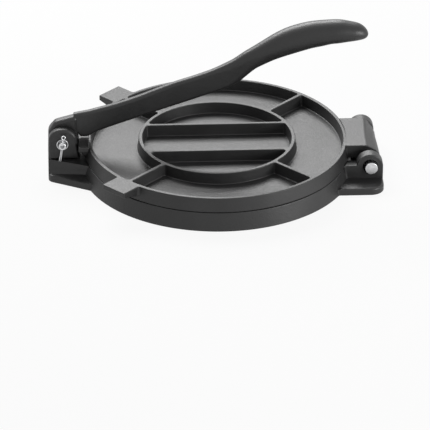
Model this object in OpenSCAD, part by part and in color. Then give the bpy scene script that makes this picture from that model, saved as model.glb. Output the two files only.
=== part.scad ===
// Cast iron tortilla press, closed, with its lever over the upper plate.
// Millimetres. Origin: centre of the round plates, on the table.
// +X runs to the plate hinge, -Y to the front, +Z up.

/* [Plates] */
// Radius of the upper plate's rim at its top
rim_r = 107.5; // [106:0.5:109]
// Radius of both plates where they meet
seam_r = 109.6; // [109:0.1:110]
// Radius of the base's skirt on the table
skirt_r = 113; // [112:0.5:114]
// Height of the base plate
base_h = 15.3; // [14:0.1:16]
// Height of the upper plate
upper_h = 12; // [11:0.5:13]
// Gap between the closed plates
plate_gap = 0.3; // [0.2:0.1:0.5]
// Depth of the recess in the upper plate
recess_depth = 9.6; // [8:0.2:9.6]
// Width of the rim's top
rim_w = 3; // [2.5:0.5:4]

/* [Upper plate ribs] */
// Outer radius of the inner ring's top
ring_r = 64.8; // [60:0.2:68]
// Width of the tops of the ring, bars and ribs
rib_w = 3; // [2:0.5:4]
// Distance of each straight bar from the middle
bar_y = 23.4; // [18:0.2:30]
// Draft added on each side of a rib over its height
rib_draft = 0.6; // [0.2:0.1:1]

/* [Lift tabs and lip] */
// Width of each lift tab
tab_w = 24; // [18:1:28]
// Reach of each lift tab from the middle
tab_reach = 123.3; // [118:0.1:126]
// Thickness of each lift tab at its tip
tab_t = 4.5; // [3.5:0.5:6]
// How much thicker each lift tab is at its root
tab_swell = 3.5; // [0:0.5:4]
// Half the width of the lip under the lever's nose
lip_half = 19.5; // [14:0.5:22]
// Height of the lip's top above the rim
lip_rise = 1.8; // [1:0.2:2.2]

/* [Plate hinge] */
// Distance of the hinge axis from the middle
hinge_x = 125.2; // [124.6:0.1:126]
// Height of the hinge axis
hinge_z = 16.2; // [16:0.1:17]
// Radius of the hinge lugs
lug_r = 11; // [10.8:0.1:12]
// How far the lugs' rounding lies behind the axis, towards the plates
lug_set = 1; // [0.5:0.1:1.5]
// Distance from the middle to a lug's inner face
lug_in = 28; // [27:0.5:29]
// Distance from the middle to a lug's outer face
lug_out = 37.5; // [36:0.5:39]
// Distance from the middle to the knuckle's front end
knuckle_front = 23; // [20:0.5:26]
// Distance from the middle to the knuckle's back end
knuckle_back = 27; // [24:0.5:27]
// Radius of the knuckle
knuckle_r = 10.4; // [10:0.1:10.8]
// Height of the hinge tab's top above the rim
tab_rise = 1; // [0.4:0.2:1.4]
// Radius of the hinge pin
hinge_pin_r = 5.2; // [4.5:0.1:5.5]

/* [Lever pivot] */
// Distance of the lever's pivot from the middle
pivot_x = 128; // [127.5:0.1:128.5]
// Height of the lever's pivot
pivot_z = 30; // [29.8:0.1:30.2]
// Radius of the ears
ear_r = 12; // [11:0.5:12]
// Distance from the middle to an ear's inner face
ear_in = 5; // [5:0.1:6]
// Distance from the middle to an ear's outer face
ear_out = 11.5; // [10:0.5:12]
// Radius of the lever pin
lever_pin_r = 3.2; // [3:0.1:3.5]

/* [Lever] */
// Half the thickness of the lever's bar
bar_half = 3.5; // [3:0.25:4.5]
// Half the thickness of the lever's hub
hub_half = 4.6; // [4:0.1:4.7]
// Radius of the grip
grip_r = 10; // [8:0.5:11]

/* [Foot flanges] */
// Thickness of the flanges on the table
flange_t = 6; // [5:0.5:7]
// Half the width of the flange on the hinge side
flange_half = 56.6; // [50:0.1:58]

/* [View] */
// Which piece to draw

/* [Hidden] */
$fn = 96;

upper_z = base_h + plate_gap;        // underside of the upper plate
rim_z = upper_z + upper_h;           // top of its rim
floor_z = rim_z - recess_depth;      // floor of its recess
recess_r = rim_r - rim_w;            // the recess at the rim's top
lug_x = hinge_x - lug_set;           // middle of the lugs' rounding
knuckle_x = hinge_x - 1.6;           // middle of the knuckle
hinge_end = lug_out + 3.5;           // the hinge pin's ends
outer_x = lug_x + lug_r;             // the hinge side's outer face
outer_left = pivot_x + 12;           // the lever side's outer face
deck_t = 5;                          // the base's pressing wall
skirt_wall = 4;
deck_under = base_h - deck_t;
slot_depth = 4;
cotter_y = ear_out + 3.7;
cotter_tilt = 8;
washer_t = 1.4;

iron = [0.13, 0.13, 0.14];
steel = [0.72, 0.73, 0.75];

// A flat shape in X and Z, drawn between two distances along Y
module slab_y(y0, y1) {
    translate([0, y1, 0]) rotate([90, 0, 0]) linear_extrude(y1 - y0) children();
}

// A round bar along Y between two distances
module bar_along_y(r, y0, y1, x, z) {
    translate([x, y1, z]) rotate([90, 0, 0]) cylinder(r = r, h = y1 - y0);
}

// The same shape on the front and on the back
module both_sides() {
    children();
    mirror([0, 1, 0]) children();
}

// A drafted rib along +X from one radius to another
module rib(from, to) {
    foot = rib_w / 2 + rib_draft;
    translate([from, 0, 0]) rotate([90, 0, 90]) linear_extrude(to - from)
        polygon([[-foot, floor_z - 1], [foot, floor_z - 1], [foot, floor_z],
                 [rib_w / 2, rim_z], [-rib_w / 2, rim_z], [-foot, floor_z]]);
}

// Plan of the block that carries the ears
module ear_block_plan() {
    polygon([[-outer_left, -11.5], [-104, -25.5], [-104, 25.5], [-outer_left, 11.5]]);
}

// Plan of the flange under the ears, with rounded outer corners
module ear_flange_plan() {
    r = 6;
    slant = atan2(18.7, 36);
    corner = [-outer_left + r, -18.15];
    touch = corner - r * [sin(slant), cos(slant)];
    both_sides() {
        translate(corner) circle(r = r);
        polygon([[-outer_left, 0.1], [-outer_left, corner[1]], corner, touch,
                 [-104, -40.5], [-104, 0.1]]);
    }
}

// Plan of the flange on the hinge side, open between the lugs
module hinge_flange_plan() {
    r = 11;
    difference() {
        union() {
            translate([96, -flange_half]) square([outer_x - r - 96, 2 * flange_half]);
            translate([96, -flange_half + r]) square([outer_x - 96, 2 * (flange_half - r)]);
            both_sides() translate([outer_x - r, flange_half - r]) circle(r = r);
        }
        translate([114, -lug_in]) square([30, 2 * lug_in]);
    }
}

// One ear, as a shape in X and Z
module ear_shape() {
    translate([-pivot_x, pivot_z]) circle(r = ear_r);
    polygon([[-outer_left, base_h - 1], [-outer_left, pivot_z],
             [-pivot_x, pivot_z + 1], [-pivot_x + ear_r, pivot_z],
             [-pivot_x + ear_r + 1.2, base_h - 1]]);
}

// One hinge lug with its arm, as a shape in X and Z
module lug_shape() {
    translate([lug_x, hinge_z]) circle(r = lug_r);
    translate([105.3, 0]) square([outer_x - 105.3, hinge_z]);
    translate([105.3, 0]) square([lug_x - 105.3, hinge_z + 1.3]);
}

// The hinge tab's end and the knuckle, as a shape in X and Z
module knuckle_shape() {
    top = rim_z + tab_rise;
    translate([knuckle_x, hinge_z]) circle(r = knuckle_r);
    polygon([[98, rim_z - 8], [98, top], [knuckle_x - 2, top],
             [knuckle_x + 3.6, hinge_z + knuckle_r - 0.8], [knuckle_x, rim_z - 8]]);
}

// Base plate: skirted round plate, ear bracket, hinge bracket, ribs underneath
module base_plate() color(iron) difference() {
    union() {
        rotate_extrude($fn = 180)
            polygon([[0, deck_under], [0, base_h], [seam_r, base_h], [skirt_r, 0],
                     [skirt_r - skirt_wall, 0], [skirt_r - skirt_wall - 3, deck_under]]);
        difference() {
            union() {
                linear_extrude(base_h) ear_block_plan();
                linear_extrude(flange_t) ear_flange_plan();
                linear_extrude(flange_t) hinge_flange_plan();
                both_sides() slab_y(lug_in, lug_out) lug_shape();
            }
            translate([0, 0, -1]) cylinder(r = skirt_r - skirt_wall + 0.5, h = deck_under + 1, $fn = 180);
            translate([0, 0, base_h]) cylinder(r = seam_r + 0.8, h = 12, $fn = 180);
        }
        both_sides() slab_y(ear_in, ear_out) ear_shape();
        for (a = [45, 135, 225, 315]) rotate([0, 0, a])
            translate([20, -2, 3]) cube([87, 4, deck_under - 2.5]);
        translate([0, 0, 3]) difference() {
            cylinder(r = 30, h = deck_under - 2.5);
            translate([0, 0, -1]) cylinder(r = 26, h = deck_under);
        }
    }
    bar_along_y(lever_pin_r + 0.05, -20, 20, -pivot_x, pivot_z);
    bar_along_y(hinge_pin_r + 0.05, -50, 50, hinge_x, hinge_z);
    // slot between the ears, which lets the lever's heel swing through
    translate([-outer_left - 1, -ear_in, base_h - slot_depth])
        cube([outer_left - pivot_x + ear_r, 2 * ear_in, slot_depth + 1]);
}

// Upper plate: rimmed plate with ring, bars and ribs, lift tabs, lip, hinge tab and knuckle
module upper_plate() color(iron) difference() {
    union() {
        rotate_extrude($fn = 180)
            polygon([[0, upper_z], [seam_r, upper_z], [rim_r, rim_z], [recess_r, rim_z],
                     [recess_r - 0.8, floor_z], [0, floor_z]]);
        rotate_extrude($fn = 180)
            polygon([[ring_r - rib_w - rib_draft, floor_z - 1], [ring_r + rib_draft, floor_z - 1],
                     [ring_r + rib_draft, floor_z], [ring_r, rim_z], [ring_r - rib_w, rim_z],
                     [ring_r - rib_w - rib_draft, floor_z]]);
        intersection() {
            both_sides() translate([0, bar_y, 0]) rib(-70, 70);
            cylinder(r = ring_r - rib_w / 2, h = 60, $fn = 180);
        }
        for (a = [45, 135, 225, 315]) rotate([0, 0, a]) rib(ring_r - rib_w / 2, rim_r - rim_w / 2);
        difference() {
            union() {
                for (a = [135, 225]) rotate([0, 0, a]) slab_y(-tab_w / 2, tab_w / 2)
                    polygon([[98, rim_z], [tab_reach, rim_z], [tab_reach, rim_z - tab_t],
                             [seam_r, rim_z - tab_t - tab_swell], [98, rim_z - tab_t - tab_swell]]);
                slab_y(-knuckle_front, knuckle_back) knuckle_shape();
            }
            cylinder(r = recess_r + 0.5, h = 60, $fn = 180);
        }
        translate([-115, -lip_half, rim_z + lip_rise - 4.2])
            cube([9, 2 * lip_half, 4.2]);
        translate([-112, -12, rim_z - 9]) cube([6, 24, 9]);
    }
    bar_along_y(hinge_pin_r + 0.1, -50, 50, hinge_x, hinge_z);
}

// Lever: hub and nose between the ears, flat bar, round grip with a tapered end
module press_lever() color(iron) {
    grip_arc = 122;
    grip_centre = [100, -0.5];
    difference() {
        union() {
            slab_y(-hub_half, hub_half) {
                translate([-pivot_x, pivot_z]) circle(r = 11.5);
                polygon([[-139.5, 31], [-139.5, 38.5], [-138.4, 41], [-136.5, 43.2],
                         [-133.8, 44.7], [-119, 48.5], [-116, 31], [-128, 26]]);
            }
            slab_y(-bar_half, bar_half)
                polygon([[-124, 30], [-120, 48.2], [-117, 51], [-105, 53.9], [-80, 60.7],
                         [-47, 73.1], [-14, 84.6], [2, 91.5], [19, 101], [40, 112], [40, 98],
                         [19, 82], [11, 74.8], [-14, 66.6], [-51, 53.8], [-89, 40.1],
                         [-100, 35.5], [-105, 32.5], [-108, 30.4], [-110.5, 29.9], [-112.6, 31.2],
                         [-114.2, 34], [-116, 31]]);
            translate([grip_centre[0], 0, grip_centre[1]]) rotate([90, 0, 0]) {
                rotate([0, 0, 86]) rotate_extrude(angle = 45.5)
                    translate([grip_arc, 0]) circle(r = grip_r, $fn = 48);
                rotate([0, 0, 131.5]) translate([grip_arc, 0, 0])
                    sphere(r = grip_r - 0.2, $fn = 48);
                rotate([0, 0, 86.5]) translate([grip_arc, 0, 0]) rotate([90, 0, 0]) {
                    cylinder(r1 = grip_r - 0.2, r2 = 7.6, h = 9, $fn = 48);
                    translate([0, 0, 9]) sphere(r = 7.4, $fn = 48);
                }
            }
        }
        bar_along_y(lever_pin_r + 0.1, -20, 20, -pivot_x, pivot_z);
    }
}

// Hinge pin: a plain rod, flat at both ends
module hinge_pin() color(steel)
    bar_along_y(hinge_pin_r, -hinge_end, hinge_end, hinge_x, hinge_z);

// Lever pin: headed at the back, cross-drilled at the front for the cotter pin
module lever_pin() color(steel) difference() {
    union() {
        bar_along_y(lever_pin_r, -ear_out - 6.5, ear_out + 0.2, -pivot_x, pivot_z);
        bar_along_y(5.5, ear_out + 0.1, ear_out + 3.1, -pivot_x, pivot_z);
    }
    translate([-pivot_x, -cotter_y, pivot_z]) rotate([0, cotter_tilt, 0])
        cylinder(r = 1.05, h = 12, center = true, $fn = 32);
}

// Washer between the front ear and the cotter pin, hanging on the pin
module lever_pin_washer() color(steel) {
    hole_r = lever_pin_r + 1.1;
    z = pivot_z + lever_pin_r + 0.05 - hole_r;
    difference() {
        bar_along_y(5.2, -ear_out - 0.1 - washer_t, -ear_out - 0.1, -pivot_x, z);
        bar_along_y(hole_r, -ear_out - 5, -ear_out + 5, -pivot_x, z);
    }
}

// Cotter pin: doubled wire drawn as one round shank, with its eye on top
module cotter_pin() color(steel)
    translate([-pivot_x, -cotter_y, pivot_z]) rotate([0, cotter_tilt, 0]) {
        translate([0, 0, -13.8]) cylinder(r = 0.95, h = 19.6, $fn = 32);
        translate([0, 0, 7]) rotate([90, 0, 0]) rotate_extrude($fn = 48)
            translate([1.5, 0]) circle(r = 0.7, $fn = 24);
    }

base_plate();
upper_plate();
press_lever();
hinge_pin();
lever_pin();
lever_pin_washer();
cotter_pin();
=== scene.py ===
"""A cast iron tortilla press, closed, with its lever lying over the upper plate.

Lengths in the classes are millimetres in the frame of the CAD model; make_object
turns them into metres. +X runs to the plate hinge, -Y to the front, +Z up.
"""

import logging
import math
from dataclasses import dataclass
from enum import Enum

import bmesh
import bpy
import numpy as np
from mathutils import Matrix, Vector


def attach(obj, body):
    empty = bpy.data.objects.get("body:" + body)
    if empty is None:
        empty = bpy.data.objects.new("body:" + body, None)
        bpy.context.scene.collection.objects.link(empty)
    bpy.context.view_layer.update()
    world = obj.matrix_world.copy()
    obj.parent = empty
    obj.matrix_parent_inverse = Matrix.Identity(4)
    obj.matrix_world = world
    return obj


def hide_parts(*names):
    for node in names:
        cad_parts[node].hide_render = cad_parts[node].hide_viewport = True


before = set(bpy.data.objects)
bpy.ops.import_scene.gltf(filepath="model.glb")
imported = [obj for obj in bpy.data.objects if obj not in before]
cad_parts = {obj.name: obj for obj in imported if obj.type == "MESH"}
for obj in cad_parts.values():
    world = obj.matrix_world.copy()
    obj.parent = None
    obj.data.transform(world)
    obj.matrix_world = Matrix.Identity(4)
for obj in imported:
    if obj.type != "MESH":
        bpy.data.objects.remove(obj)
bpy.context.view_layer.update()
LOG = logging.getLogger("press")
MM = 0.001
CHORD = 0.012  # farthest that a chord lies from its circle
WIDEST = 15.0  # longest chord, in degrees of its circle
THIN = 0.02  # smallest rounding, ledge or step between two faces
WHITE = (1.0, 1.0, 1.0, 1.0)
Array = np.ndarray


# ---- outlines


@dataclass(frozen=True)
class Arc:
    """A part of a circle in an outline; hollow where the outline bends inwards."""

    centre: tuple[float, float]
    radius: float
    start: float
    sweep: float
    hollow: bool = False

    def steps(self) -> int:
        """Number of chords that keep the arc close to its circle."""
        turn = 2 * math.degrees(math.acos(1 - min(0.5, CHORD / self.radius)))
        return max(2, math.ceil(abs(self.sweep) / min(WIDEST, turn)))


@dataclass(frozen=True)
class Outline:
    """A closed flat outline with the outward normal at each of its points."""

    points: Array
    normals: Array

    def turned(self, degrees: float) -> "Outline":
        """The outline turned about the origin.

        Args:
            degrees: angle, counter-clockwise.

        Returns:
            The turned outline.
        """
        a = math.radians(degrees)
        turn = np.array([[math.cos(a), math.sin(a)], [-math.sin(a), math.cos(a)]])
        return Outline(self.points @ turn, self.normals @ turn)


def rays(angles: Array) -> Array:
    """Unit vectors (cos a, sin a) at angles in radians."""
    return np.stack([np.cos(angles), np.sin(angles)], -1)


def full_turn(steps: int) -> Array:
    """Angles in radians all the way round, in equal steps."""
    return np.linspace(0, 2 * np.pi, steps, endpoint=False)


def outline_of(arcs: list[Arc]) -> Outline:
    """Joins arcs by straight lines: centre + radius * (cos a, sin a) along each sweep.

    Args:
        arcs: the arcs in order, counter-clockwise round the outline.

    Returns:
        The outline, with each normal along the arc's radius.
    """
    points, normals = [], []
    for arc in arcs:
        ray = rays(np.radians(arc.start + arc.sweep * np.linspace(0, 1, arc.steps() + 1)))
        points.append(np.array(arc.centre) + arc.radius * ray)
        normals.append(-ray if arc.hollow else ray)
    return Outline(np.vstack(points), np.vstack(normals))


def corner_arcs(corners: Array, radii: Array, closed: bool) -> list[Arc]:
    """Rounds the corners of a polygon: each centre lies one radius from both sides.

    Args:
        corners: polygon points, counter-clockwise.
        radii: rounding of each corner.
        closed: False leaves the first and last corner out.

    Returns:
        One arc for each rounded corner.
    """
    before = corners - np.roll(corners, 1, axis=0)
    after = np.roll(corners, -1, axis=0) - corners
    before /= np.linalg.norm(before, axis=1)[:, None]
    after /= np.linalg.norm(after, axis=1)[:, None]
    n0 = np.column_stack([before[:, 1], -before[:, 0]])
    n1 = np.column_stack([after[:, 1], -after[:, 0]])
    side = np.sign(before[:, 0] * after[:, 1] - before[:, 1] * after[:, 0])
    side[side == 0] = 1
    lean = (n0 + n1) / (1 + (n0 * n1).sum(1))[:, None]
    centres = corners - lean * (radii * side)[:, None]
    a0 = np.degrees(np.arctan2(n0[:, 1] * side, n0[:, 0] * side))
    a1 = np.degrees(np.arctan2(n1[:, 1] * side, n1[:, 0] * side))
    sweep = (a1 - a0 + 180) % 360 - 180
    keep = range(len(corners)) if closed else range(1, len(corners) - 1)
    return [
        Arc(tuple(centres[i]), float(radii[i]), float(a0[i]), float(sweep[i]), side[i] < 0)
        for i in keep
    ]


def rounded(corners: list[tuple[float, float]], radii: list[float] | float) -> Outline:
    """A closed polygon with rounded corners.

    Args:
        corners: polygon points, counter-clockwise.
        radii: one rounding for all corners, or one for each.

    Returns:
        The rounded outline.
    """
    points = np.array(corners, float)
    sizes = np.maximum(np.broadcast_to(np.array(radii, float), len(points)), 0.05)
    return outline_of(corner_arcs(points, sizes, True))


def profile(corners: list[tuple[float, float]], radii: list[float]) -> Array:
    """An open path with rounded corners, for a wall's section.

    Args:
        corners: (offset or radius, height) points from the lower cap to the upper.
        radii: rounding of each corner; the first and last are not used.

    Returns:
        The points of the path.
    """
    points = np.array(corners, float)
    sizes = np.maximum(np.array(radii, float), THIN)
    middle = outline_of(corner_arcs(points, sizes, False)).points
    return np.vstack([points[:1], middle, points[-1:]])


# ---- shells


@dataclass
class Shell:
    """A closed surface: its vertices in millimetres and its faces."""

    vertices: Array
    faces: list[list[int]]


def loft(grid: Array, wrap: bool = False) -> Shell:
    """Closes a grid of rings into a shell whose faces point outwards.

    Args:
        grid: rings x points x 3, each ring closed on itself.
        wrap: True joins the last ring to the first in place of two flat caps.

    Returns:
        The shell, turned so that its volume is positive.
    """
    rings, count = grid.shape[:2]
    i = np.arange(rings if wrap else rings - 1)[:, None]
    j = np.arange(count)[None, :]
    k, nxt = (i + 1) % rings, (j + 1) % count
    quads = np.stack([i * count + j, i * count + nxt, k * count + nxt, k * count + j], -1)
    faces = quads.reshape(-1, 4).tolist()
    if not wrap:
        faces.append(list(range(count))[::-1])
        faces.append(list(range((rings - 1) * count, rings * count)))
    points = grid.reshape(-1, 3)
    middle = points.mean(0)
    a, b, c, d = (points[quads.reshape(-1, 4)[:, n]] - middle for n in range(4))
    volume = np.einsum("ij,ij->", a, np.cross(b, c)) + np.einsum("ij,ij->", a, np.cross(c, d))
    if not wrap:
        for ring, sign in ((grid[0], -1.0), (grid[-1], 1.0)):
            rim = ring - middle
            fan = np.cross(rim[1:-1], rim[2:])
            volume += sign * np.einsum("j,ij->", rim[0], fan)
    if volume < 0:
        faces = [face[::-1] for face in faces]
    return Shell(points, faces)


def stack(outline: Outline, path: Array) -> Shell:
    """A wall round an outline: point + offset * normal, at each height of the path.

    Args:
        outline: the flat outline in X and Y.
        path: (offset, height) rows from the lower cap to the upper.

    Returns:
        The closed shell.
    """
    flat = outline.points[None] + path[:, None, :1] * outline.normals[None]
    height = np.broadcast_to(path[:, None, 1:], flat.shape[:2] + (1,))
    return loft(np.concatenate([flat, height], -1))


def revolve(path: Array, steps: int = 240) -> Shell:
    """A round piece about Z: (radius * cos a, radius * sin a, height) for each path point.

    Args:
        path: (radius, height) rows from the lower cap to the upper.
        steps: points round each ring.

    Returns:
        The closed shell, flat inside its first and last ring.
    """
    ray = rays(full_turn(steps))
    return stack(Outline(ray * 0.0, ray), path)


def along_y(shell: Shell) -> Shell:
    """Lays a shell over, so that its plan is in X and Z and its height runs along -Y."""
    x, y, z = shell.vertices.T
    return Shell(np.column_stack([x, -z, y]), shell.faces)


def slab_y(outline: Outline, y0: float, y1: float, edge: float,
           far_edge: float | None = None) -> Shell:
    """A slab with rounded edges whose outline is in X and Z.

    Args:
        outline: the outline in X and Z.
        y0: its front face.
        y1: its back face.
        edge: rounding at the front face's edge.
        far_edge: rounding at the back face's edge, edge if not given.

    Returns:
        The closed shell.
    """
    back = edge if far_edge is None else far_edge
    path = profile([(-back - THIN, -y1), (0, -y1), (0, -y0), (-edge - THIN, -y0)],
                   [0, back, edge, 0])
    return along_y(stack(outline, path))


def rod_y(radius: float, y0: float, y1: float, x: float, z: float, edge: float = 0.0) -> Shell:
    """A round rod along Y with rounded ends.

    Args:
        radius: the rod's radius.
        y0: its front end.
        y1: its back end.
        x: its axis along X.
        z: its axis along Z.
        edge: rounding of both ends.

    Returns:
        The closed shell.
    """
    end = max(edge, THIN)
    ledge = radius - end - 0.3
    path = profile([(ledge, -y1), (radius, -y1), (radius, -y0), (ledge, -y0)], [0, end, end, 0])
    shell = along_y(revolve(path, 72))
    return Shell(shell.vertices + np.array([x, 0, z]), shell.faces)


def tube(path: Array, radius: Array, side: Array, steps: int = 16) -> Shell:
    """A round wire along a flat path: point + radius * (cos a * across + sin a * side).

    Args:
        path: points of the wire's middle, in a plane.
        radius: the wire's radius at each point.
        side: unit normal of the path's plane.
        steps: points round the wire.

    Returns:
        The closed shell.
    """
    along = np.gradient(path, axis=0)
    along /= np.linalg.norm(along, axis=1)[:, None]
    across = np.cross(along, side)
    a = full_turn(steps)[None, :, None]
    ring = np.cos(a) * across[:, None] + np.sin(a) * side[None, None]
    return loft(path[:, None] + radius[:, None, None] * ring)


def flipped(shell: Shell) -> Shell:
    """The shell's mirror image on the other side of Y = 0, its faces still outward."""
    return Shell(shell.vertices * (1, -1, 1), [face[::-1] for face in shell.faces])


def smooth_curve(x: Array, stations: Array, values: Array) -> Array:
    """A smooth curve through stations: cubic pieces whose slopes are those of the neighbours.

    Args:
        x: where the curve is wanted.
        stations: rising places with known values.
        values: the values there.

    Returns:
        The curve's values at x.
    """
    slope = np.gradient(values, stations)
    i = np.clip(np.searchsorted(stations, x) - 1, 0, len(stations) - 2)
    width = stations[i + 1] - stations[i]
    t = (x - stations[i]) / width
    return ((1 + 2 * t) * (1 - t) ** 2 * values[i] + t * (1 - t) ** 2 * width * slope[i]
            + t * t * (3 - 2 * t) * values[i + 1] + t * t * (t - 1) * width * slope[i + 1])


# ---- objects


def make_object(name: str, shell: Shell) -> bpy.types.Object:
    """Puts a shell into a new object in metres.

    Args:
        name: the object's name.
        shell: the surface in millimetres.

    Returns:
        The object, at the origin.
    """
    mesh = bpy.data.meshes.new(name)
    mesh.from_pydata((shell.vertices * MM).tolist(), [], shell.faces)
    mesh.validate()
    piece = bpy.data.objects.new(name, mesh)
    bpy.context.scene.collection.objects.link(piece)
    return piece


def joined(name: str, added: list[Shell], cut: list[Shell]) -> bpy.types.Object:
    """Unites shells into one closed mesh, then takes others away from it.

    Args:
        name: the object's name.
        added: shells that make up the piece.
        cut: shells that are taken out.

    Returns:
        The object with one closed mesh.
    """
    piece = make_object(name, added[0])
    helpers = []
    for kind, shells in (("UNION", added[1:]), ("DIFFERENCE", cut)):
        for shell in shells:
            helper = make_object(f"{name}_helper", shell)
            helpers.append(helper)
            step = piece.modifiers.new("join", "BOOLEAN")
            step.operation, step.solver, step.object = kind, "MANIFOLD", helper
    bpy.context.view_layer.update()
    graph = bpy.context.evaluated_depsgraph_get()
    mesh = bpy.data.meshes.new_from_object(piece.evaluated_get(graph))
    piece.modifiers.clear()
    piece.data = mesh
    for helper in helpers:
        bpy.data.objects.remove(helper)
    return piece


def shell_of(piece: bpy.types.Object) -> Shell:
    """Takes a helper object's mesh back as a shell and removes the object.

    Args:
        piece: the helper, with a mesh in metres.

    Returns:
        The shell in millimetres.
    """
    mesh = piece.data
    flat = np.empty(len(mesh.vertices) * 3)
    mesh.vertices.foreach_get("co", flat)
    faces = [list(face.vertices) for face in mesh.polygons]
    bpy.data.objects.remove(piece)
    return Shell(flat.reshape(-1, 3) / MM, faces)


def finish_mesh(piece: bpy.types.Object, angle: float = 32.0) -> None:
    """Welds a piece's doubles, smooths it up to an angle and weights its normals by area.

    Args:
        piece: the object.
        angle: edges sharper than this stay sharp, in degrees.
    """
    net = bmesh.new()
    net.from_mesh(piece.data)
    bmesh.ops.remove_doubles(net, verts=net.verts, dist=2e-6)
    bmesh.ops.dissolve_degenerate(net, edges=net.edges, dist=1e-6)
    bmesh.ops.dissolve_limit(net, angle_limit=0.002, verts=net.verts, edges=net.edges)
    net.to_mesh(piece.data)
    net.free()
    piece.data.shade_smooth()
    piece.data.set_sharp_from_angle(angle=math.radians(angle))
    weighted = piece.modifiers.new("even shading", "WEIGHTED_NORMAL")
    weighted.keep_sharp, weighted.mode, weighted.weight = True, "FACE_AREA", 50


# ---- finishes


Socket = bpy.types.NodeSocket


class Tree:
    """Shorthand for the node tree of a material or world."""

    def __init__(self, owner: bpy.types.Material | bpy.types.World) -> None:
        """Empties the owner's node tree."""
        owner.use_nodes = True
        self.nodes, self.links = owner.node_tree.nodes, owner.node_tree.links
        self.nodes.clear()

    def add(self, kind: str, inputs: dict[str | int, object] | None = None,
            **settings: object) -> bpy.types.Node:
        """Adds a node.

        Args:
            kind: its type name without the ShaderNode prefix.
            inputs: values for its inputs, or the sockets that feed them.
            **settings: its properties.

        Returns:
            The node.
        """
        node = self.nodes.new("ShaderNode" + kind)
        for key, value in settings.items():
            setattr(node, key, value)
        for key, value in (inputs or {}).items():
            if isinstance(value, Socket):
                self.links.new(value, node.inputs[key])
            else:
                node.inputs[key].default_value = value
        return node

    def noise(self, place: Socket, scale: float, detail: float = 2.0,
              rough: float = 0.5) -> Socket:
        """A noise texture on the given coordinates.

        Args:
            place: the coordinates' socket.
            scale: features per metre.
            detail: octaves.
            rough: share of the finer octaves.

        Returns:
            The noise's value socket.
        """
        return self.add("TexNoise", {"Vector": place, "Scale": scale, "Detail": detail,
                                     "Roughness": rough}).outputs["Fac"]

    def spread(self, value: Socket, low: float, high: float) -> Socket:
        """Maps the middle of a noise, from 0.3 to 0.7, to a range."""
        return self.add("MapRange", {0: value, 1: 0.3, 2: 0.7, 3: low, 4: high}).outputs[0]

    def ramp(self, value: Socket, tones: tuple[float, float],
             tint: tuple[float, float, float]) -> Socket:
        """Maps the middle of a noise to colours from a dark tone to a light one.

        Args:
            value: the noise's socket.
            tones: brightness at 0.3 and at 0.7.
            tint: share of red, green and blue in both.

        Returns:
            The colour socket.
        """
        node = self.add("ValToRGB", {0: value})
        for element, place, tone in zip(node.color_ramp.elements, (0.3, 0.7), tones):
            element.position = place
            element.color = (*(tone * part for part in tint), 1)
        return node.outputs[0]

    def bump(self, height: Socket, strength: float, distance: float,
             normal: Socket | None = None) -> Socket:
        """Relief from a height.

        Args:
            height: the height's socket.
            strength: how much of the relief shows.
            distance: metres of relief for a height of 1.
            normal: a relief that this one lies on.

        Returns:
            The normal's socket.
        """
        inputs = {"Strength": strength, "Distance": distance, "Height": height}
        if normal is not None:
            inputs["Normal"] = normal
        return self.add("Bump", inputs).outputs[0]


class Grain(Enum):
    """The two sizes of sand grain: features per metre and height in metres."""

    FINE = (850.0, 0.00012)
    COARSE = (260.0, 0.000132)


@dataclass(frozen=True)
class BlackIron:
    """Satin black, seasoned cast iron with a fine sand-cast grain."""

    name: str
    tone: float = 0.016
    rough: float = 0.44
    index: float = 1.50
    relief: float = 0.75

    def material(self) -> bpy.types.Material:
        """Builds the material: grey, gloss and relief vary with noise in object space.

        Returns:
            The material.
        """
        made = bpy.data.materials.new(self.name)
        tree = Tree(made)
        place = tree.add("TexCoord").outputs["Object"]
        broad, fine = tree.noise(place, 38, 3), tree.noise(place, 700, 2, 0.6)
        gloss = tree.add("Math", {
            0: tree.spread(broad, -0.02, 0.02),
            1: tree.spread(fine, self.rough - 0.05, self.rough + 0.06)}, operation="ADD")
        normal = None
        for grain in Grain:
            scale, height = grain.value
            normal = tree.bump(tree.noise(place, scale), self.relief, height, normal)
        shader = tree.add("BsdfPrincipled", {
            "Base Color": tree.ramp(broad, (self.tone * 0.75, self.tone * 1.3), (1, 1, 1.01)),
            "Roughness": gloss.outputs[0], "IOR": self.index, "Normal": normal})
        tree.add("OutputMaterial", {0: shader.outputs[0]})
        return made


@dataclass(frozen=True)
class PlatedSteel:
    """Zinc-plated steel with a slight mottle."""

    name: str
    tone: float = 0.62
    rough: float = 0.3

    def material(self) -> bpy.types.Material:
        """Builds the material: brightness and gloss vary with noise in object space.

        Returns:
            The material.
        """
        made = bpy.data.materials.new(self.name)
        tree = Tree(made)
        place = tree.add("TexCoord").outputs["Object"]
        mottle = tree.noise(place, 420, 3, 0.6)
        shader = tree.add("BsdfPrincipled", {
            "Metallic": 1.0,
            "Base Color": tree.ramp(mottle, (self.tone * 0.86, self.tone * 1.1),
                                    (1, 1.005, 1.02)),
            "Roughness": tree.spread(mottle, self.rough + 0.1, self.rough - 0.04),
            "Normal": tree.bump(tree.noise(place, 1400), 0.4, 0.00004)})
        tree.add("OutputMaterial", {0: shader.outputs[0]})
        return made


def dress(piece: bpy.types.Object, finish: BlackIron | PlatedSteel, body: str, node: str) -> None:
    """Gives a piece its finish and its place in the model.

    Args:
        piece: the object.
        finish: its material's class.
        body: the CAD body that it rides on.
        node: the CAD node that it stands for.
    """
    piece.data.materials.clear()
    piece.data.materials.append(finish.material())
    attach(piece, body)
    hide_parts(node)
    LOG.info("%s: %d faces, on %s", piece.name, len(piece.data.polygons), body)


# ---- the castings


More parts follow.
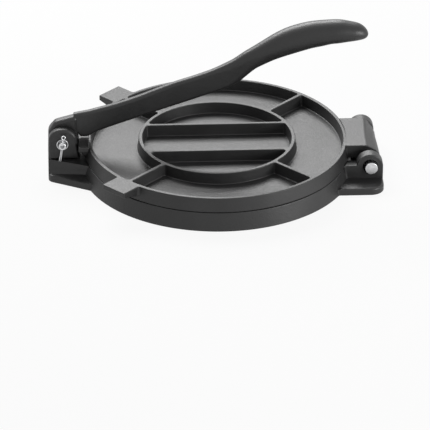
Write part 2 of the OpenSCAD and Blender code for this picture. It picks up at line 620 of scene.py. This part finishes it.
@dataclass
class PlateSizes:
    """Sizes that both plates share."""

    seam_r: float = 109.6
    rim_r: float = 107.5
    skirt_r: float = 113.0
    base_h: float = 15.3
    upper_z: float = 15.6
    rim_z: float = 27.6
    hinge_x: float = 125.2
    hinge_z: float = 16.2
    pivot_x: float = -128.0
    pivot_z: float = 30.0

    def skirt_at(self, z: Array | float) -> Array | float:
        """Radius of the base's drafted wall at a height."""
        return self.skirt_r - (self.skirt_r - self.seam_r) * z / self.base_h

    def rim_at(self, z: Array | float) -> Array | float:
        """Radius of the upper plate's drafted wall at a height."""
        share = (self.rim_z - z) / (self.rim_z - self.upper_z)
        return self.rim_r + (self.seam_r - self.rim_r) * share


def corner_web(face_y: float, wall: Array, heights: Array, fillet: float) -> Shell:
    """Fills the upright corner between a front face and the round wall with a hollow fillet.

    At each height the fillet's centre lies one fillet radius from the face and from the
    wall's circle; the arc runs between the two touching points and the rest is buried.

    Args:
        face_y: place of the front face along Y, below 0.
        wall: radius of the wall at each height.
        heights: the heights.
        fillet: radius of the hollow fillet.

    Returns:
        The closed shell.
    """
    depth = -face_y
    cx = np.sqrt((wall + fillet) ** 2 - (depth + fillet) ** 2)
    centre = np.column_stack([cx, np.full_like(cx, -(depth + fillet))])
    away = centre / np.linalg.norm(centre, axis=1)[:, None]
    stop = np.arctan2(-away[:, 1], -away[:, 0])
    a = np.pi / 2 + (stop - np.pi / 2)[:, None] * np.linspace(0, 1, 9)[None]
    arc = centre[:, None] + fillet * rays(a)
    corner = np.column_stack([np.sqrt(wall ** 2 - depth ** 2), np.full_like(wall, face_y)])
    buried = np.stack([away * (wall - 1.4)[:, None], corner + (-1.2, 1.2),
                       np.column_stack([cx, np.full_like(cx, face_y + 1.2)])], 1)
    flat = np.concatenate([arc, buried], 1)
    level = np.broadcast_to(heights[:, None, None], flat.shape[:2] + (1,))
    return loft(np.concatenate([flat, level], -1))


@dataclass
class BasePlate:
    """The base: skirted plate, ear bracket, hinge bracket and the ribs underneath."""

    sizes: PlateSizes
    left_x: float = -140.0
    right_x: float = 135.2
    flange_t: float = 6.0
    flange_half: float = 56.6
    ear_in: float = 5.0
    ear_out: float = 11.5
    ear_r: float = 12.0
    lug_in: float = 28.0
    lug_out: float = 37.5
    lug_x: float = 124.2
    lug_r: float = 11.0
    back_lug: tuple = (122.4, 10.4, 132.4)
    ear_hole: float = 3.3
    front_hole: float = 6.3
    front_hole_x: float = 124.5
    front_hole_up: float = 0.5
    back_hole: float = 5.5
    buried_r: float = 109.3
    arm_face: float = 110.35
    notch_x: float = 117.5
    web: float = 2.2
    slot_x: float = -116.0
    slot_floor: float = 11.3

    def plate(self) -> Shell:
        """The round plate with its drafted skirt, open underneath."""
        s = self.sizes
        return revolve(profile(
            [(98, s.base_h - 5), (106, s.base_h - 5), (109, 0), (s.skirt_r, 0),
             (s.seam_r, s.base_h), (98, s.base_h)], [0, 2.0, 0.4, 0.5, 0.8, 0]))

    def ear_block(self) -> Shell:
        """The block under the ears, with a flared foot and a rounded top.

        Returns:
            The closed shell, its left side flat where the foot flares.
        """
        top = self.sizes.base_h
        shell = stack(self.wedge(11.5, 25.5, 2.4), profile(
            [(8.2, 1), (8.2, self.flange_t - 0.3), (4.2, self.flange_t + 3.4), (0, top),
             (-1.25, top)], [0, 0.8, 12, 1.4, 0]))
        shell.vertices[:, 0] = np.maximum(shell.vertices[:, 0], self.left_x + 0.05)
        return shell

    def flange_edge(self) -> Array:
        """The section of both foot flanges' edge."""
        return profile([(-0.8, 0), (0, 0), (0, self.flange_t), (-1.55, self.flange_t)],
                       [0, 0.6, 1.5, 0])

    def ear_flange(self) -> Shell:
        """The foot flange under the ears."""
        return stack(self.wedge(21.8, 39.7, 6.0), self.flange_edge())

    def wedge(self, half_left: float, half_right: float, corner: float) -> Outline:
        """A plan that widens from the left face to the skirt.

        Args:
            half_left: half its width at the left face.
            half_right: half its width at X = -104.
            corner: rounding of the two outer corners.

        Returns:
            The outline, with its inner end on an arc inside the skirt's wall.
        """
        slope = (half_right - half_left) / (-104 - self.left_x)
        a = 1 + slope ** 2
        m = half_left - slope * self.left_x
        x = (-slope * m - math.sqrt((slope * m) ** 2 - a * (m * m - self.buried_r ** 2))) / a
        half = m + slope * x
        spread = math.degrees(math.atan2(half, -x))
        outer = corner_arcs(np.array([(x, half), (self.left_x, half_left),
                                      (self.left_x, -half_left), (x, -half)]),
                            np.array([0.3, corner, corner, 0.3]), False)
        return outline_of([*outer, Arc((0, 0), self.buried_r, 180 + spread, -2 * spread, True)])

    def hinge_flange(self) -> Shell:
        """The foot flange on the hinge side, with its notch, cut off inside the skirt's wall.

        Returns:
            The closed shell.
        """
        x0, x1, h, lug, notch = 97.2, self.right_x, self.flange_half, self.lug_in, self.notch_x
        plan = rounded([(x0, -h), (x1, -h), (x1, -lug), (notch, -lug), (notch, lug), (x1, lug),
                        (x1, h), (x0, h)], [0.3, 11, 1, 3, 3, 1, 11, 0.3])
        wall = np.array([(90, -2), (self.buried_r, -2), (self.buried_r, 12), (90, 12)], float)
        return shell_of(joined("flange", [stack(plan, self.flange_edge())], [revolve(wall)]))

    def lug(self, y0: float, y1: float, x: float, radius: float, right: float) -> Shell:
        """One hinge lug with its arm.

        Args:
            y0: its front face.
            y1: its back face.
            x: middle of its rounding.
            radius: its rounding.
            right: its outer face.

        Returns:
            The closed shell.
        """
        z = self.sizes.hinge_z
        arm = z + 1.3
        inner = 101.6
        turn = math.degrees(math.asin((arm - z) / radius))
        shape = outline_of([
            *corner_arcs(np.array([(inner, arm), (inner, 1), (right, 1), (right, z)]),
                         np.array([0.3, 0.3, 0.6, 0.3]), False),
            Arc((x, z), radius, 0, 180 - turn),
            *corner_arcs(np.array([(x - radius, arm), (inner, arm), (inner, 1)]),
                         np.array([0.3, 0.5, 0.3]), False),
        ])
        step = self.sizes.base_h + THIN
        wall = profile([(90, -2), (self.buried_r, -2), (self.buried_r, step),
                        (self.arm_face, step), (self.arm_face, 40), (90, 40)],
                       [0, 0.1, THIN, THIN, 0.1, 0])
        return shell_of(joined("lug", [slab_y(shape, y0, y1, 1.0)], [revolve(wall)]))

    def ear(self, y0: float, y1: float) -> Shell:
        """One ear: round on top, with leaning sides down into the block.

        Args:
            y0: its front face.
            y1: its back face.

        Returns:
            The closed shell, rounded more at the face away from the lever.
        """
        s, r = self.sizes, self.ear_r
        foot = s.base_h - 1.5
        shape = rounded([(self.left_x, foot), (s.pivot_x + r + 2.6, foot),
                         (s.pivot_x + r - 1.7, s.pivot_z + r),
                         (self.left_x + 0.7, s.pivot_z + r)],
                        [0.3, 0.3, 10.3, 10.6])
        outer, inner = 2.4, 0.8
        return slab_y(shape, y0, y1, *((outer, inner) if y0 < 0 else (inner, outer)))

    def ribs_under(self) -> list[Shell]:
        """Four diagonal ribs and a ring under the plate.

        Returns:
            The ribs' shells, then the ring's.
        """
        top = self.sizes.base_h - 4.5
        path = profile([(-0.62, 3), (0, 3), (0.25, top), (-0.3, top)], [0, 0.6, 0.1, 0])
        ribs = [stack(rounded([(27.5, -2), (107, -2), (107, 2), (27.5, 2)], 0.2).turned(a), path)
                for a in (45, 135, 225, 315)]
        a = full_turn(120)[None, :, None]
        section = rounded([(26, 3), (30, 3), (30.2, top), (25.8, top)], [0.8, 0.8, 0.1, 0.1]).points
        r, z = section[:, :1, None], section[:, 1:, None]
        ring = np.concatenate([r * np.cos(a), r * np.sin(a), z + 0 * a], -1)
        return [*ribs, loft(ring, wrap=True)]

    def build(self) -> bpy.types.Object:
        """Joins the base's shells and cuts the slot and the pin holes.

        Returns:
            The base as one object.
        """
        s = self.sizes
        low = np.array([1.0, 5.0, 9.0, 13.0, 15.2, 15.4, 16.9])
        arm_wall = np.maximum(s.skirt_at(low), self.arm_face)
        foot = np.array([0.3, 2.0, 4.0, 5.4])
        webs = [corner_web(-self.lug_out, arm_wall, low, self.web),
                corner_web(-self.flange_half, s.skirt_at(foot), foot, self.web)]
        lugs = [self.lug(-self.lug_out, -self.lug_in, self.lug_x, self.lug_r, self.right_x),
                self.lug(self.lug_in, self.lug_out, *self.back_lug)]
        added = [self.plate(), self.ear_flange(), self.ear_block(), self.hinge_flange(), *lugs,
                 *webs, *map(flipped, webs),
                 self.ear(-self.ear_out, -self.ear_in), self.ear(self.ear_in, self.ear_out),
                 *self.ribs_under()]
        left, right, half, floor = self.left_x - 3, self.slot_x, self.ear_in, self.slot_floor
        slot = stack(rounded([(left, -half), (right, -half), (right, half), (left, half)],
                             [0.3, 1.5, 1.5, 0.3]),
                     profile([(-1.2, floor), (0, floor), (0, 15.9), (0, 19)], [0, 1.0, 0.1, 0]))
        cut = [slot, rod_y(self.ear_hole, -20, 20, s.pivot_x, s.pivot_z),
               rod_y(self.front_hole, -50, 0, self.front_hole_x, s.hinge_z + self.front_hole_up),
               rod_y(self.back_hole, -1, 50, s.hinge_x, s.hinge_z)]
        return joined("base_plate_iron", added, cut)


@dataclass
class UpperPlate:
    """The upper plate: rim, ring, bars and ribs, lift tabs, lip, hinge tab and knuckle."""

    sizes: PlateSizes
    recess_r: float = 104.5
    floor_z: float = 18.0
    ring_out: float = 64.8
    ring_in: float = 61.8
    rib_half: float = 1.5
    bar_y: float = 23.4
    fillet: float = 2.4
    tab_half: float = 12.0
    tab_reach: float = 124.2
    tab_t: float = 4.5
    tab_swell: float = 3.5
    lip_half: float = 19.5
    lip_rise: float = 1.8
    lip_t: float = 4.2
    knuckle_front: float = -23.0
    knuckle_back: float = 27.0
    knuckle_x: float = 123.6
    knuckle_r: float = 10.4
    shoulder_x: float = 121.4
    shoulder_r: float = 4.6
    hinge_tab_t: float = 11.4
    hinge_tab_in: float = 106.9
    pin_hole: float = 5.6

    def plate(self) -> Shell:
        """The full round plate, before its pockets are cut."""
        s = self.sizes
        return revolve(profile([(90, s.upper_z), (s.seam_r, s.upper_z), (s.rim_r, s.rim_z),
                                (90, s.rim_z)], [0, 0.8, 0.7, 0]))

    def outer_pocket(self, at: float) -> Outline:
        """The pocket between two diagonal ribs, the ring and the rim.

        Args:
            at: direction of its first rib in degrees; the second is 90 degrees on.

        Returns:
            The outline with a fillet in each corner.
        """
        f, w = self.fillet, self.rib_half
        near, far = self.ring_out + f, self.recess_r - f
        lean1, lean2 = (math.degrees(math.asin((w + f) / r)) for r in (near, far))
        end = at + 90
        spots = [(far, end - lean2), (near, end - lean1), (near, at + lean1), (far, at + lean2)]
        c = [(r * math.cos(math.radians(a)), r * math.sin(math.radians(a))) for r, a in spots]
        return outline_of([
            Arc((0, 0), self.recess_r, at + lean2, 90 - 2 * lean2),
            Arc(c[0], f, end - lean2, 90 + lean2),
            Arc(c[1], f, end + 90, 90 - lean1),
            Arc((0, 0), self.ring_out, end - lean1, 2 * lean1 - 90, True),
            Arc(c[2], f, at + lean1 + 180, 90 - lean1),
            Arc(c[3], f, at - 90, 90 + lean2),
        ])

    def inner_pockets(self) -> list[Outline]:
        """The pockets inside the ring: between the bars, behind them and in front of them.

        Returns:
            The three outlines, with a fillet in each corner.
        """
        f, w, ring, spots = self.fillet, self.rib_half, self.ring_in, []
        for y in (self.bar_y - w - f, self.bar_y + w + f):
            x = math.sqrt((ring - f) ** 2 - y * y)
            spots.append((x, y, math.degrees(math.atan2(y, x))))
        x, y, a = spots[0]
        middle = outline_of([
            Arc((0, 0), ring, -a, 2 * a), Arc((x, y), f, a, 90 - a),
            Arc((-x, y), f, 90, 90 - a), Arc((0, 0), ring, 180 - a, 2 * a),
            Arc((-x, -y), f, 180 + a, 90 - a), Arc((x, -y), f, 270, 90 - a)])
        x, y, a = spots[1]
        side = outline_of([Arc((0, 0), ring, a, 180 - 2 * a),
                           Arc((-x, y), f, 180 - a, 90 + a), Arc((x, y), f, 270, 90 + a)])
        return [middle, side, side.turned(180)]

    def pockets(self) -> list[Shell]:
        """The seven pockets, with drafted walls, hollow feet and rounded top edges.

        Returns:
            One closed shell for each pocket.
        """
        top, floor = self.sizes.rim_z + THIN, self.floor_z
        path = profile([(-1.75, floor), (-1.0, floor), (0, top), (0.95, top), (0.95, top + 2)],
                       [0, 0.7, 0.7, 0.05, 0])
        plans = [*self.inner_pockets(), *(self.outer_pocket(a) for a in (45, 135, 225, 315))]
        return [stack(plan, path) for plan in plans]

    def lift_tab(self, at: float) -> Shell:
        """A lift tab whose sides run into the rim's wall in hollow fillets.

        Its plan is moved outwards near the rim by the wall's draft, and its underside
        drops towards the rim by the swell.

        Args:
            at: its direction in degrees.

        Returns:
            The closed shell.
        """
        s, f, half, corner, inner = self.sizes, 2.2, self.tab_half, 0.9, 105.7
        wall = s.rim_at(24.0)
        x = math.sqrt((wall + f) ** 2 - (half + f) ** 2)
        lean = math.degrees(math.atan2(half + f, x))
        plan = outline_of([
            Arc((self.tab_reach - corner, corner - half), corner, -90, 90),
            Arc((self.tab_reach - corner, half - corner), corner, 0, 90),
            Arc((x, half + f), f, 270, lean - 90, True),
            Arc((0, 0), inner, lean, -2 * lean, True),
            Arc((x, -half - f), f, 180 - lean, lean - 90, True),
        ])
        path = profile([(-0.62, 0), (0, 0), (0, self.tab_t), (-0.72, self.tab_t)],
                       [0, 0.6, 0.7, 0])
        shell = stack(plan, path)
        px, py, pz = shell.vertices.T
        r = np.hypot(px, py)
        drop = self.tab_swell * np.clip((self.tab_reach - r) / (self.tab_reach - s.seam_r), 0, 1)
        z = s.rim_z - THIN - self.tab_t + pz - drop * (pz < self.tab_t / 2)
        near = np.clip((112.5 - r) / 2.5, 0, 1) * (r > inner + 1)
        push = (s.rim_at(z) - wall) * near
        px, py = px * (1 + push / r), py * (1 + push / r)
        a = math.radians(at)
        turned = np.column_stack([px * math.cos(a) - py * math.sin(a),
                                  px * math.sin(a) + py * math.cos(a), z])
        return Shell(turned, shell.faces)

    def lip(self) -> list[Shell]:
        """The lip under the lever's nose and the root that carries it.

        Returns:
            The lip's shell and the root's.
        """
        top, half, root_half = self.sizes.rim_z + self.lip_rise, self.lip_half, 12
        under = top - self.lip_t
        lip = rounded([(-115, -half), (-106, -half), (-106, half), (-115, half)], 1.2)
        root = rounded([(-112, -root_half), (-105.4, -root_half), (-105.4, root_half),
                        (-112, root_half)], [1.5, 0.3, 0.3, 1.5])
        return [stack(lip, profile([(-0.6, under), (0, under), (0, top), (-0.82, top)],
                                   [0, 0.5, 0.8, 0])),
                stack(root, profile([(-0.4, 18.6), (0, 18.6), (0, 26), (-0.1, 26)],
                                    [0, 0.3, 0.05, 0]))]

    def knuckle(self) -> Shell:
        """The hinge tab and the knuckle, which narrows towards the back.

        Each section in X and Z is the tab's flat top, a rounded shoulder, the line that
        touches the shoulder and the barrel, and the barrel's circle; its radius falls along
        Y, and the first and last sections are drawn in for the rounded ends.

        Returns:
            The closed shell.
        """
        s = self.sizes
        top = s.rim_z + 1.0
        under = top - self.hinge_tab_t
        start, stop = -self.knuckle_back, -self.knuckle_front
        bend = profile([(-0.82, start), (0, start), (0, stop), (-0.72, stop)], [0, 0.8, 0.7, 0])
        between = np.array([[0.0, y] for y in (-18, -9, 0, 9, 18)])
        ys = np.concatenate([bend[bend[:, 1] < -20], between, bend[bend[:, 1] > 20]])
        offset, y = ys[:, :1], -ys[:, 1:]
        share = np.clip((y + 4) / 31, 0, 1)
        radius = self.knuckle_r - 0.4 * np.clip((y + 23) / 19, 0, 1) - 1.5 * share
        cx, cz = self.knuckle_x + 0 * y, s.hinge_z + 0 * y
        shoulder = self.shoulder_r
        sx, sz = self.shoulder_x + 1.2 * share, top - shoulder + 0 * y
        dx, dz = sx - cx, sz - cz
        far = np.hypot(dx, dz)
        tip = np.arctan2(-dx, dz) + np.arcsin(np.clip((radius - shoulder) / far, -1, 1))
        t = np.linspace(0, 1, 9)[None]
        a1 = np.pi / 2 + (tip - np.pi / 2) * t
        left = -np.pi - np.arcsin((under - cz) / radius)
        a2 = tip + (left - tip) * np.linspace(0, 1, 49)[None]
        x1, z1 = sx + (shoulder + offset) * np.cos(a1), sz + (shoulder + offset) * np.sin(a1)
        x2, z2 = cx + (radius + offset) * np.cos(a2), cz + (radius + offset) * np.sin(a2)
        inner = np.sqrt(self.hinge_tab_in ** 2 - y ** 2)
        z2[:, -1:] = np.minimum(z2[:, -1:], under - offset)
        x = np.concatenate([x1, x2, inner, inner - offset], 1)
        z = np.concatenate([z1, z2, under - offset, top + offset], 1)
        return loft(np.stack([x, np.broadcast_to(y, x.shape), z], -1))

    def build(self) -> bpy.types.Object:
        """Joins the plate's shells and cuts the pockets and the pin hole.

        Returns:
            The upper plate as one object.
        """
        s = self.sizes
        heights = np.array([16.4, 19.0, 22.0, 25.0, 27.0])
        lowest, fillet, wall = 17.3, 2.2, s.rim_at(heights)
        added = [self.plate(), self.knuckle(), self.lift_tab(135), self.lift_tab(225), *self.lip()]
        for web in (corner_web(self.knuckle_front, wall, heights, fillet),
                    flipped(corner_web(-self.knuckle_back, wall, heights, fillet))):
            web.vertices[:, 2] = np.maximum(web.vertices[:, 2], lowest)
            added.append(web)
        return joined("upper_plate_iron", added,
                      [*self.pockets(), rod_y(self.pin_hole, -50, 50, s.hinge_x, s.hinge_z)])


@dataclass
class PressLever:
    """The lever: hub and nose between the ears, flat bar, round grip."""

    sizes: PlateSizes
    hub_half: float = 4.6
    edge: float = 3.0
    pivot_hole: float = 3.35

    # sections in the nose, then the heights over X of its top and underside
    nose_x: tuple = (-118.5, -118.1, -117.4, -116, -115.3, -115.1, -114.8, -114.4, -113.8, -113,
                     -112, -110.5, -108.6, -107.4, -106.2, -105, -103.5, -102, -100.5, -99, -97.5,
                     -96, -94.5, -93)
    nose_top: tuple = ((-118.5, 51.7), (-118.1, 52.2), (-106, 54.5), (-104, 55.05))
    nose_under: tuple = ((-118.5, 38), (-115.3, 38), (-115.1, 35.8), (-114.6, 33.3),
                         (-113.6, 31.6), (-112.4, 30.9), (-108.6, 30.8), (-107, 31.0),
                         (-105.4, 31.8), (-99.6, 35.2), (-92.6, 38.6))

    # middle line, half height and half width of the bar and grip, at stations along X
    x: tuple = (-104, -96.5, -80, -63.5, -47, -30.5, -14, 2.3, 11, 18.7, 27, 35, 43, 51.3, 59.5,
              67.6, 75.8, 83.9, 92, 100.3, 108, 113, 117, 120.1, 121.7, 122.8, 123.5)
    z: tuple = (44.3, 46.8, 52.2, 58, 64.1, 70.1, 75.7, 81.7, 85.9, 91.4, 97.8, 102.5, 107, 111.2,
              114.7, 117.4, 119.6, 120.9, 122, 122.4, 122.2, 121.9, 121.4, 120.6, 120.1, 119.7,
              119.5)
    half_z: tuple = (10.2, 9.8, 9.2, 9.1, 9.6, 9.9, 9.7, 9.9, 10, 8.9, 8.5, 8.9, 9.6, 10.6, 11.3,
                   11.4, 11.2, 10.9, 10.2, 9.8, 8.5, 7.6, 6.5, 5, 3.8, 2.5, 1)
    half_y: tuple = (3.5, 3.5, 3.5, 3.5, 3.5, 3.5, 3.6, 3.9, 4.4, 5.1, 6.1, 7.2, 8.3, 9.2, 9.9,
                   10.3, 10.5, 10.5, 10.3, 10.1, 9.4, 8.7, 7.5, 5.9, 4.6, 3, 1.2)

    def bar_and_grip(self) -> Shell:
        """The bar and grip: a rounded rectangle carried along the lever's middle line.

        Each section stands square to the line; its corners grow from a small rounding on
        the bar to the full half width on the grip, which makes the grip round.

        Returns:
            The closed shell.
        """
        stations = np.array(self.x)
        bar_x, end_x = np.linspace(-91.5, 112, 82), np.linspace(113, 123.5, 22)
        x = np.concatenate([self.nose_x, bar_x, end_x])
        z, b, a = (smooth_curve(np.maximum(x, stations[0]), stations, np.array(v, float))
                   for v in (self.z, self.half_z, self.half_y))
        slope = np.arctan(np.gradient(z, x))
        for ends, place in ((x > 114, 114), (x < -98, -98)):
            slope[ends] = slope[np.searchsorted(x, place)]
        # the sections stand upright in the nose and turn square to the line over 16 mm
        tilt = slope * np.clip((x + 100) / 16, 0, 1)
        b = b / np.cos(slope - tilt)
        top = np.where(x < -104, np.interp(x, *np.array(self.nose_top).T), z + b)
        under = np.minimum(z - b, np.interp(x, *np.array(self.nose_under).T))
        under = np.where(x < -92, under, z - b)
        z, b, slope = (top + under) / 2, (top - under) / 2, tilt
        blend = np.clip((x + 5) / 50, 0, 1)
        blend = blend * blend * (3 - 2 * blend)
        ca = self.edge + (a - self.edge) * blend
        cb = self.edge + (b - self.edge) * blend
        q = np.linspace(0, np.pi / 2, 9)
        angle = np.concatenate([q, q + np.pi / 2, q + np.pi, q + 1.5 * np.pi])
        sy = np.repeat([1.0, -1.0, -1.0, 1.0], 9)
        sz = np.repeat([1.0, 1.0, -1.0, -1.0], 9)
        u = sy[None] * (a - ca)[:, None] * 0.999 + ca[:, None] * np.cos(angle)[None] + 0.001 * sy
        w = sz[None] * (b - cb)[:, None] * 0.999 + cb[:, None] * np.sin(angle)[None] + 0.001 * sz
        return loft(np.stack([x[:, None] - w * np.sin(slope)[:, None], u,
                              z[:, None] + w * np.cos(slope)[:, None]], -1))

    def build(self) -> bpy.types.Object:
        """Joins the hub to the nose, bar and grip and bores the pivot.

        Returns:
            The lever as one object.
        """
        s = self.sizes
        hub = rounded([(-139.5, 17.6), (-114.6, 17.6), (-115.4, 51.0), (-134.3, 45.8),
                       (-139.5, 37.0)], [11.3, 12.0, 3.1, 7.0, 3.5])
        added = [slab_y(hub, -self.hub_half, self.hub_half, self.edge), self.bar_and_grip()]
        return joined("press_lever_iron", added,
                      [rod_y(self.pivot_hole, -20, 20, s.pivot_x, s.pivot_z)])


# ---- fastenings


@dataclass
class Fastenings:
    """The two pins, the washer and the cotter pin."""

    sizes: PlateSizes
    hinge_r: float = 5.2
    hinge_end: float = 41.0
    pin_r: float = 3.2
    front_end: float = -18.0
    washer_r: float = 4.9
    washer_hole: float = 4.05
    cotter_y: float = -15.2
    tilt: float = 8.0

    def hinge_pin(self) -> bpy.types.Object:
        """The plate hinge's rod, with slightly rounded ends."""
        s = self.sizes
        return make_object("hinge_pin_steel", rod_y(self.hinge_r, -self.hinge_end, self.hinge_end,
                                                    s.hinge_x, s.hinge_z, 0.5))

    def lever_pin(self) -> bpy.types.Object:
        """The lever's pin: head at the back, a dimple in its front end.

        Returns:
            The pin as one object.
        """
        s, r = self.sizes, self.pin_r
        head, end = 5.5, -self.front_end
        path = profile([(4.6, -14.6), (head, -14.6), (head, -11.6), (r, -11.6), (r, end),
                        (1.6, end), (1.45, end - 5.0), (0.4, end - 5.2)],
                       [0, 0.8, 0.3, 0.2, 0.5, 0.25, 0.4, 0])
        shell = along_y(revolve(path, 64))
        return make_object("lever_pin_steel", Shell(
            shell.vertices + (s.pivot_x, 0, s.pivot_z), shell.faces))

    def washer(self) -> bpy.types.Object:
        """The washer, hanging on the pin: a rounded section carried round its hole.

        Returns:
            The washer as one object.
        """
        s = self.sizes
        z0 = s.pivot_z + self.pin_r + 0.05 - self.washer_hole
        section = rounded([(self.washer_hole, -13.0), (self.washer_r, -13.0),
                           (self.washer_r, -11.6), (self.washer_hole, -11.6)], 0.3).points
        a = full_turn(64)[None]
        r, y = section[:, :1], section[:, 1:]
        grid = np.stack([s.pivot_x + r * np.cos(a), y + 0 * a, z0 + r * np.sin(a)], -1)
        return make_object("lever_pin_washer_steel", loft(grid, wrap=True))

    def cotter(self) -> bpy.types.Object:
        """The cotter pin: one wire, down a leg, round the eye and down the other leg.

        The legs lie side by side and the eye is most of a circle above them.

        Returns:
            The cotter pin as one object.
        """
        wire, eye_r, eye_z, gap = 0.52, 1.45, 7.0, 0.5
        lean = math.asin(gap / eye_r)
        eye = eye_r * rays(np.linspace(-np.pi / 2 + lean, 1.5 * np.pi - lean, 33)) + (0, eye_z)
        down = np.linspace(4.9, -15.0, 12)
        right = np.column_stack([gap - 0.06 * (down < -11), down])
        left = np.column_stack([-gap - 0.35 * np.clip((-down - 9) / 5, 0, 1), down])
        flat = np.vstack([right[::-1], eye, left])
        radius = np.full(len(flat), wire)
        radius[[0, -1]] = wire * 0.55
        t = math.radians(self.tilt)
        x = flat[:, 0] * math.cos(t) + flat[:, 1] * math.sin(t)
        z = -flat[:, 0] * math.sin(t) + flat[:, 1] * math.cos(t)
        s = self.sizes
        path = np.column_stack([s.pivot_x + x, np.full(len(x), self.cotter_y), s.pivot_z + z])
        return make_object("cotter_pin_steel", tube(path, radius, np.array([0.0, 1.0, 0.0])))


# ---- studio


@dataclass(frozen=True)
class SoftLight:
    """A soft rectangular lamp that shines on the press.

    Its brightness is the radiance of its face, where 1 is white.
    """

    name: str
    place: tuple[float, float, float]
    width: float
    height: float
    brightness: float
    aim: tuple[float, float, float] = (0.0, 0.0, 0.02)

    def build(self) -> bpy.types.Object:
        """Sets the lamp up.

        Returns:
            The lamp's object.
        """
        data = bpy.data.lights.new(self.name, "AREA")
        data.shape, data.size, data.size_y = "RECTANGLE", self.width, self.height
        data.energy = self.brightness * math.pi * self.width * self.height
        lamp = bpy.data.objects.new(self.name, data)
        lamp.location = self.place
        away = Vector(self.place) - Vector(self.aim)
        lamp.rotation_euler = away.to_track_quat("Z", "Y").to_euler()
        lamp.visible_camera = False
        bpy.context.scene.collection.objects.link(lamp)
        return lamp


@dataclass
class Studio:
    """Floor, room, lamps and camera."""

    distance: float = 3.0
    elevation: float = 0.490673
    turn: float = -0.048141
    roll: float = 0.0026776
    focal_px: float = 3604.53
    image_px: float = 430.0
    origin_px: tuple[float, float] = (216.886, 165.827)
    ambient: float = 0.15
    floor_half: float = 4.0
    floor_tone: float = 0.6
    floor_glow: float = 0.92

    def camera(self) -> None:
        """Aims the camera so that the origin falls on its pixel in a 430 x 430 image."""
        ce, se = math.cos(self.elevation), math.sin(self.elevation)
        place = self.distance * Vector((math.sin(self.turn) * ce, -math.cos(self.turn) * ce, se))
        ahead = -place.normalized()
        right = ahead.cross(Vector((0, 0, 1))).normalized()
        up = right.cross(ahead)
        right, up = (right * math.cos(self.roll) + up * math.sin(self.roll),
                     up * math.cos(self.roll) - right * math.sin(self.roll))
        middle = self.image_px / 2
        dx, dy = self.origin_px[0] - middle, middle - self.origin_px[1]
        ahead = (ahead * self.focal_px - right * dx - up * dy).normalized()
        right = ahead.cross(up).normalized()
        up = right.cross(ahead)
        data = bpy.data.cameras.new("camera")
        data.sensor_width = 36.0
        data.lens = self.focal_px / self.image_px * data.sensor_width
        data.clip_start, data.clip_end = 0.05, 50.0
        camera = bpy.data.objects.new("camera", data)
        turned = Matrix((right, up, -ahead)).transposed().to_4x4()
        camera.matrix_world = Matrix.Translation(place) @ turned
        bpy.context.scene.collection.objects.link(camera)
        bpy.context.scene.camera = camera

    @staticmethod
    def seen(tree: Tree) -> Socket:
        """1 for camera, glossy and transmission rays, 0 for the rest.

        Args:
            tree: the node tree.

        Returns:
            The value socket.
        """
        path = tree.add("LightPath")
        total = path.outputs["Is Camera Ray"]
        for other in ("Is Glossy Ray", "Is Transmission Ray"):
            total = tree.add("Math", {0: total, 1: path.outputs[other]},
                             operation="MAXIMUM").outputs[0]
        return total

    def room(self) -> None:
        """A white room to look at, and a softer one for the light it gives."""
        world = bpy.data.worlds.new("room")
        bpy.context.scene.world = world
        tree = Tree(world)
        white = tree.add("Background", {0: WHITE})
        soft = tree.add("Background", {0: WHITE, 1: self.ambient})
        mix = tree.add("MixShader", {0: self.seen(tree), 1: soft.outputs[0], 2: white.outputs[0]})
        tree.add("OutputWorld", {0: mix.outputs[0]})

    def floor(self) -> None:
        """A pale floor that looks white and keeps the press's shadow."""
        half = self.floor_half
        mesh = bpy.data.meshes.new("floor")
        mesh.from_pydata([(-half, -half, 0), (half, -half, 0), (half, half, 0), (-half, half, 0)],
                         [], [(0, 1, 2, 3)])
        floor = bpy.data.objects.new("floor", mesh)
        bpy.context.scene.collection.objects.link(floor)
        made = bpy.data.materials.new("pale floor")
        tree = Tree(made)
        grey = self.floor_tone
        matt = tree.add("BsdfDiffuse", {0: (grey, grey, grey, 1)})
        glow = tree.add("Emission", {0: WHITE})
        share = tree.add("Math", {0: self.seen(tree), 1: self.floor_glow}, operation="MULTIPLY")
        mix = tree.add("MixShader", {0: share.outputs[0], 1: matt.outputs[0],
                                     2: glow.outputs[0]})
        tree.add("OutputMaterial", {0: mix.outputs[0]})
        mesh.materials.append(made)

    def lamps(self) -> None:
        """A broad light behind the press and a small key light at the front right."""
        SoftLight("back light", (-0.31, 1.01, 1.06), 1.5, 0.6, 12.0).build()
        SoftLight("key light", (0.80, -0.55, 0.24), 0.36, 0.22, 22.0).build()

    def build(self) -> None:
        """Sets everything up but the press."""
        self.camera()
        self.floor()
        self.room()
        self.lamps()
        bpy.context.scene.view_settings.view_transform = "Standard"


# ---- main


def main() -> None:
    """Builds the studio, the castings and the fastenings in order."""
    logging.basicConfig(level=logging.INFO, format="%(name)s %(message)s")
    Studio().build()
    sizes = PlateSizes()
    iron = BlackIron("black iron")
    for casting, body, node, slot in (
            (BasePlate, "base", "base_plate", "base_iron"),
            (UpperPlate, "plate", "upper_plate", "plate_iron"),
            (PressLever, "lever", "press_lever", "lever_iron")):
        piece = casting(sizes).build()
        finish_mesh(piece)
        dress(piece, iron, body, node)
    small = Fastenings(sizes)
    zinc = PlatedSteel("zinc-plated steel")
    for piece, body, node, slot in (
            (small.hinge_pin(), "base", "hinge_pin", "hinge_pin_steel"),
            (small.lever_pin(), "base", "lever_pin", "lever_pin_steel"),
            (small.washer(), "base", "lever_pin_washer", "washer_steel"),
            (small.cotter(), "base", "cotter_pin", "cotter_steel")):
        finish_mesh(piece, 40.0)
        dress(piece, zinc, body, node)


if __name__ == "__main__":
    main()
